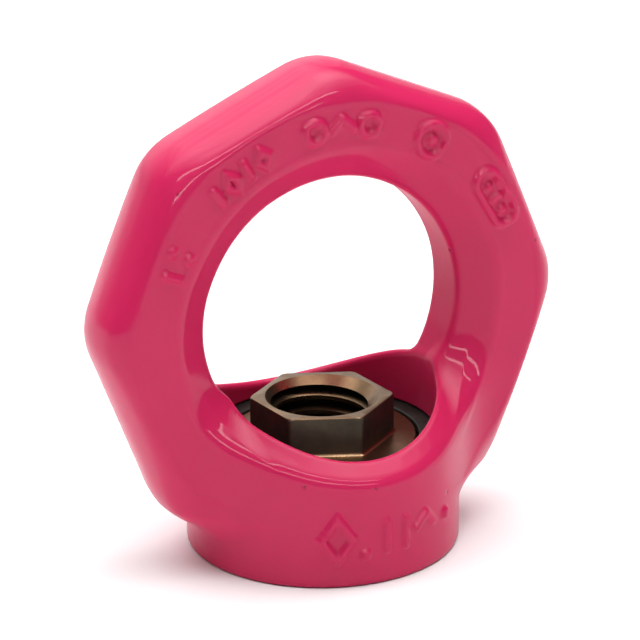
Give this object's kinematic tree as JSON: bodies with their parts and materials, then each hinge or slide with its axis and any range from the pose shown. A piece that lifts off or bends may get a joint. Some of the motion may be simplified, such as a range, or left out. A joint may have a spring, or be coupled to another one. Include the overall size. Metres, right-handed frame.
{
  "type": "swivel hoist ring",
  "caption": "Forged lifting eye with an octagonal outline that swivels through a full turn about a captive flanged hexagon nut with a threaded through bore.",
  "frame": {"origin": "on the swivel axis, in the plane of the base that the part is clamped against", "axes": "+Z along the swivel and thread axis, up towards the eye; the eye's ring lies in the XZ plane, so its hole runs along Y; the face with the front marks looks towards -Y"},
  "size_m": [0.0534, 0.03, 0.0542],
  "materials": {
    "powder_coat": "glossy pink powder coat over forged steel",
    "nut_steel": "dark brown oiled steel",
    "snap_ring_steel": "black phosphated spring steel"
  },
  "bodies": {
    "nut": {"hex_flange_nut": "nut_steel"},
    "swivel_eye": {"ring_body": "powder_coat", "snap_ring": "snap_ring_steel"}
  },
  "joints": [
    {"name": "eye_swivel", "type": "hinge", "parent": "nut", "child": "swivel_eye", "pos_m": [0, 0, 0], "axis": [0, 0, 1], "continuous": true}
  ]
}
